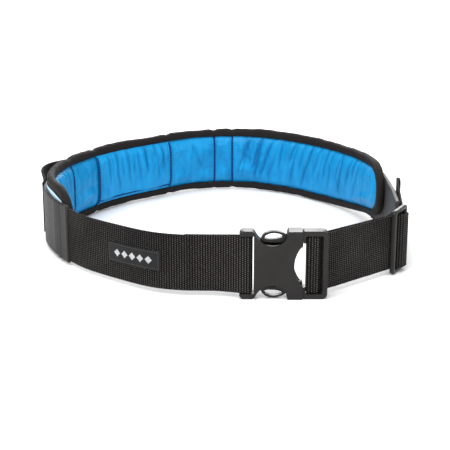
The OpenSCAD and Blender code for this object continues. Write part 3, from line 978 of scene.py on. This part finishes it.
GRIP = [(-174.3, 166), (-174.5, 178), (-176.8, 190), (-180.6, 204), (-183, 219), (-181, 235),
        (-172.5, 248), (-158.5, 257.5), (-142, 263.5), (-131.5, 273)]
grip_path = Path(spline(GRIP)[0])


def grip_flare(s, d, z):
    """Leans the handle's lower part out wherever it stands off the belt."""
    room = np.array([np.min(np.hypot(RING.p[:, 0] - x, RING.p[:, 1] - y))
                     for x, y in zip(*grip_path.at(s[:, 0]))])
    lean = np.clip((room - 5.0) * 0.75, 0, 13)[:, None]
    drop = np.clip((WEB_Z1 + 2 - z) / WEB_H, 0, 1)
    return s, d - lean * drop ** 0.8, z


handle = webbing("handle_web", grip_path, 0, grip_path.length, seed=8.0, d=1.0, z0=WEB_Z0 + 2,
                 z1=WEB_Z1 + 2, deform=grip_flare)
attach(handle, "belt")
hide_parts("left_handle")

tacks = []
for s in (5.5, grip_path.length - 7):
    for z in (WEB_Z0 + 8, WEB_Z0 + 22, WEB_Z0 + 36, WEB_Z1 - 4):
        for k in range(5):
            zz = z + k * 0.55
            pts, nrm = surface_row(grip_path, np.linspace(s - 3, s + 3, 8), 2.15, zz, out=1)
            tacks.append(stitches("t", pts, nrm, M_THREAD, width=0.5, pitch=6, share=0.98))
tack_thread = join("handle_tacks", tacks)
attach(tack_thread, "belt")
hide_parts("handle_bartacks")


# ---------------------------------------------------------------- right strap
BEND, FAR = np.array([142.8, 63.5]), np.array([156.0, 88.0])
PLUG_AT = np.array([72.0, 8.5])
DIR1 = (BEND - PLUG_AT) / np.linalg.norm(BEND - PLUG_AT)
DIR2 = (FAR - BEND) / np.linalg.norm(FAR - BEND)
LEFT1, LEFT2 = np.array([-DIR1[1], DIR1[0]]), np.array([-DIR2[1], DIR2[0]])
MIDDLE = (BEND + FAR) / 2
LOW_D, TOP_D = -2.5, -10.6
WRAP = np.array([73.7, 6.5])
FLAT = 1.45


def in_slider(x, d):
    return MIDDLE + x * DIR2 + d * LEFT2


def run_of(points):
    return Path(spline(points, 16)[0])


def whole_run(name, run, seed, amount, **more):
    """Webbing from one end of a run to the other."""
    return webbing(name, run, 0, run.length, seed=seed, amount=amount, **more)


def P3(xy):
    """A plan point at the webbing's middle height, in the row frame."""
    return tuple(to_frame(xy[0], xy[1], ZC))


# inner layer: ring -> slider -> plug, then round the plug's bar and back outside it
inner_a = PLUG_AT + 12 * DIR1
inner_b = BEND - 10 * DIR1
outer_a = PLUG_AT + 12 * DIR1 - 4.6 * LEFT1
SPLIT = 0.66
mid_in = PLUG_AT + SPLIT * (BEND - PLUG_AT)
mid_out = mid_in - 3.4 * LEFT1
wrap_pts = (round_bar(WRAP + (FLAT, 0), 3.7, (78, 90))
            + round_bar(WRAP - (FLAT, 0), 3.7, np.arange(95, 266, 17))
            + round_bar(WRAP + (FLAT, 0), 3.7, (270, 290, 310)))
near_plug = run_of([mid_in, inner_a + 15 * DIR1, inner_a] + wrap_pts
                   + [outer_a, outer_a + 15 * DIR1, mid_out])
strap_near = whole_run("strap_at_plug", near_plug, 13.0, 0.12)
P3(mid_in)
P3(PLUG_AT + 13 * DIR1)
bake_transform(strap_near)
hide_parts("plug_wrap")

inner_run = run_of([mid_in - 0.4 * DIR1, mid_in + 8 * DIR1, inner_b, BEND + 0.4 * DIR2,
                    in_slider(-7, 0), in_slider(0, 0)])
strap_inner = whole_run("strap_inner", inner_run, 14.0, 0.12)
P3(mid_in)
P3(BEND - 2 * DIR1)
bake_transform(strap_inner)
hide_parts("right_strap_inner")

beyond = [np.array(RING.at(s_of(u), 0.0)) for u in (0.15, 0.4, 0.62)]
rear_run = run_of([in_slider(-0.5, 0), in_slider(8, 0), in_slider(14, 0)] + beyond)
strap_rear = whole_run("strap_rear", rear_run, 15.0, 0.1)
P3(in_slider(12, 0))
P3(beyond[-1])
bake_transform(strap_rear)

outer_run = run_of([mid_out - 0.4 * DIR1, mid_out + 8 * DIR1, BEND - 9 * DIR1 - 2.7 * LEFT1,
                    in_slider(-14.5, LOW_D), in_slider(-10, LOW_D - 0.1), in_slider(-7.0, -6.0),
                    in_slider(-4.2, TOP_D), in_slider(0.3, TOP_D - 1.4),
                    in_slider(4.2, TOP_D - 1.4), in_slider(7.4, -6.4),
                    in_slider(10, LOW_D - 0.1), in_slider(15.0, LOW_D)])
strap_outer = whole_run("strap_outer", outer_run, 16.0, 0.1)
P3(mid_out)
P3(BEND - 2 * DIR1)
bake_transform(strap_outer)
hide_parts("right_strap_outer")

tail_start = in_slider(15.0, LOW_D)
TAIL_A = math.radians(85)
TAIL_DIR = np.array([math.cos(TAIL_A), math.sin(TAIL_A)])
TAIL_LEFT = np.array([-TAIL_DIR[1], TAIL_DIR[0]])
tail_run = run_of([in_slider(13.5, LOW_D), tail_start]
                  + [tail_start + far * TAIL_DIR - out * TAIL_LEFT
                     for far, out in ((9, 0.9), (38, 0.9), (72, 1.0), (104, 1.6))])
tail = whole_run("tail_web", tail_run, 17.0, 0.2)
P3(tail_start - 1.0 * TAIL_DIR)
P3(tail_start + 12 * TAIL_DIR)
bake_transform(tail)
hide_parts("tail_strap")


# the tail's end folded over itself and sewn
end = tail_run.length
fold_run = run_of([np.array(tail_run.at(s, d)) for s, d in
                   ((end - 13, -1.95), (end - 13 + 5, -2.0), (end - 1.2, -1.9), (end, -0.95),
                    (end - 0.3, 0.0))])
hem = whole_run("tail_fold", fold_run, 18.0, 0.02, t=1.9)
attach(hem, "tail")
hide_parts("tail_hem")

hem_rows = []
for back in (10.5, 3.5):
    pts, nrm = surface_row(tail_run, end - back, -3.05, ACROSS)
    hem_rows.append(stitches("h", pts, nrm, M_THREAD))
hem_thread = join("tail_thread", hem_rows)
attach(hem_thread, "tail")


# ---------------------------------------------------------------- plastic, in its CAD shape
def finish_plastic(node, width):
    """Moulded edges and the plastic's material on a CAD node."""
    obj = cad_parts[node]
    for slot in obj.material_slots:
        slot.material = M_PLASTIC
    if not obj.material_slots:
        obj.data.materials.append(M_PLASTIC)
    weld = obj.modifiers.new("weld", "WELD")
    weld.merge_threshold = 0.00002
    bevel = obj.modifiers.new("bevel", "BEVEL")
    bevel.width = width
    bevel.segments = 3
    bevel.limit_method = "ANGLE"
    bevel.angle_limit = math.radians(38)
    bevel.harden_normals = True
    bevel.use_clamp_overlap = True


for plastic, edge_width in (("buckle_socket", 0.0011), ("plug_frame", 0.0011),
                            ("upper_arm", 0.0006), ("lower_arm", 0.0006),
                            ("slider_frame", 0.0014)):
    finish_plastic(plastic, edge_width)


# ---------------------------------------------------------------- floor, light, camera
def floor():
    mat, bsdf = new_material("floor", (0.93, 0.93, 0.93), 0.9, specular=0.1)
    mesh = bpy.data.meshes.new("floor")
    size = 40.0
    corners = [(-size, -size, 0), (size, -size, 0), (size, size, 0), (-size, size, 0)]
    mesh.from_pydata(corners, [], [(0, 1, 2, 3)])
    obj = bpy.data.objects.new("floor", mesh)
    mesh.materials.append(mat)
    bpy.context.scene.collection.objects.link(obj)


floor()
world = bpy.data.worlds.new("studio")
bpy.context.scene.world = world
world.use_nodes = True
background = world.node_tree.nodes["Background"]
background.inputs["Color"].default_value = (1, 1, 1, 1)
background.inputs["Strength"].default_value = 0.42
bpy.context.scene.view_settings.view_transform = "Standard"

sun = bpy.data.lights.new("softbox", "SUN")
sun.energy = 2.5
sun.angle = math.radians(50)
sun_obj = bpy.data.objects.new("softbox", sun)
sun_obj.rotation_euler = (math.radians(20), math.radians(-13), 0)
bpy.context.scene.collection.objects.link(sun_obj)


def area(name, loc, target, size, power):
    light = bpy.data.lights.new(name, "AREA")
    light.energy = power
    light.size = size
    obj = bpy.data.objects.new(name, light)
    obj.location = loc
    obj.rotation_euler = (Vector(target) - Vector(loc)).to_track_quat("-Z", "Y").to_euler()
    bpy.context.scene.collection.objects.link(obj)


area("back", (0.1, 1.9, 0.95), (0, -0.1, 0.03), 1.6, 55)
area("front", (-0.5, -1.0, 0.9), (0, 0, 0.03), 0.8, 5)
area("right", (1.1, -0.5, 0.7), (0, 0, 0.03), 0.6, 4)

# the camera stands in front of the buckle, a little above it
FOCAL_PX, FRAME_PX, SENSOR = 1167.6, 450, 36.0
camera = bpy.data.cameras.new("camera")
camera.sensor_width = SENSOR
camera.lens = FOCAL_PX / FRAME_PX * SENSOR
cam = bpy.data.objects.new("camera", camera)
bpy.context.scene.collection.objects.link(cam)
cam.location = tuple(to_frame(0.0, -917.7, 355.5))
cam.rotation_euler = (math.radians(90 - 17.5), 0, 0)
bpy.context.scene.camera = cam

bpy.context.view_layer.update()
